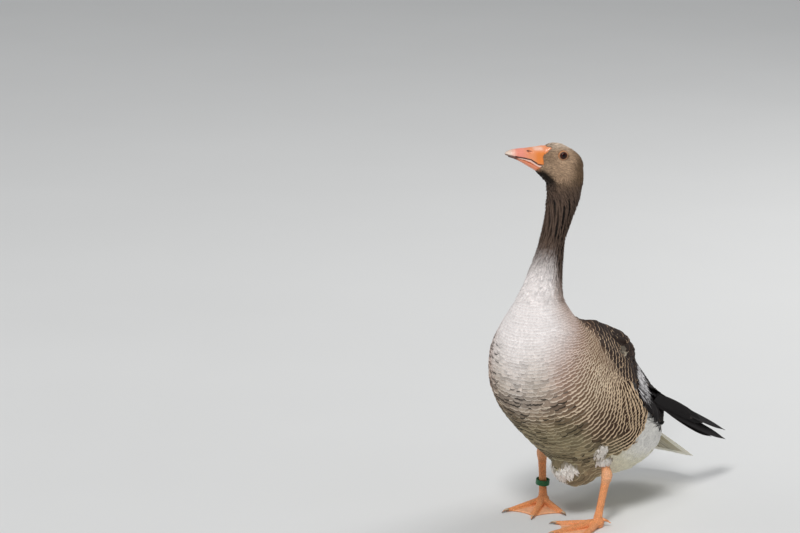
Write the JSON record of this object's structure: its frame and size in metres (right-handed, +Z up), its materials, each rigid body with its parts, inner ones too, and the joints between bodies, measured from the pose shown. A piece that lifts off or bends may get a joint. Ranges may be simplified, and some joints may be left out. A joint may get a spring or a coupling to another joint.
{
  "type": "greylag goose",
  "caption": "Standing grey goose with raised furrowed neck, head turned aside, orange bill, folded wings, short tail, webbed feet and a plain green ring on one shank.",
  "frame": {"origin": "on the floor, under the middle of the bird's box", "axes": "+Z up from the soles, -Y the way the trunk faces, +X the bird's left side"},
  "size_m": [0.211, 0.4502, 0.5654],
  "materials": {
    "breast_feathers": "matte",
    "neck_feathers": "matte",
    "back_feathers": "matte",
    "vent_feathers": "matte",
    "flight_feathers": "satin",
    "bill_horn": "satin",
    "nail_horn": "satin",
    "leg_skin": "satin",
    "eye": "gloss",
    "ring": "satin"
  },
  "bodies": {
    "root": {"head": "neck_feathers", "bill_upper": "bill_horn", "bill_nail": "nail_horn", "bill_lower": "bill_horn", "eye_left": "eye", "eye_right": "eye", "neck_upper": "neck_feathers", "neck_lower": "breast_feathers", "trunk": "breast_feathers", "wing_left": "back_feathers", "wing_right": "back_feathers", "tail": "vent_feathers", "primary_left_1": "flight_feathers", "primary_left_2": "flight_feathers", "primary_left_3": "flight_feathers", "thigh_left": "breast_feathers", "leg_left": "leg_skin", "foot_left": "leg_skin", "primary_right_1": "flight_feathers", "primary_right_2": "flight_feathers", "primary_right_3": "flight_feathers", "thigh_right": "breast_feathers", "leg_right": "leg_skin", "foot_right": "leg_skin", "leg_ring": "ring"}
  },
  "joints": []
}
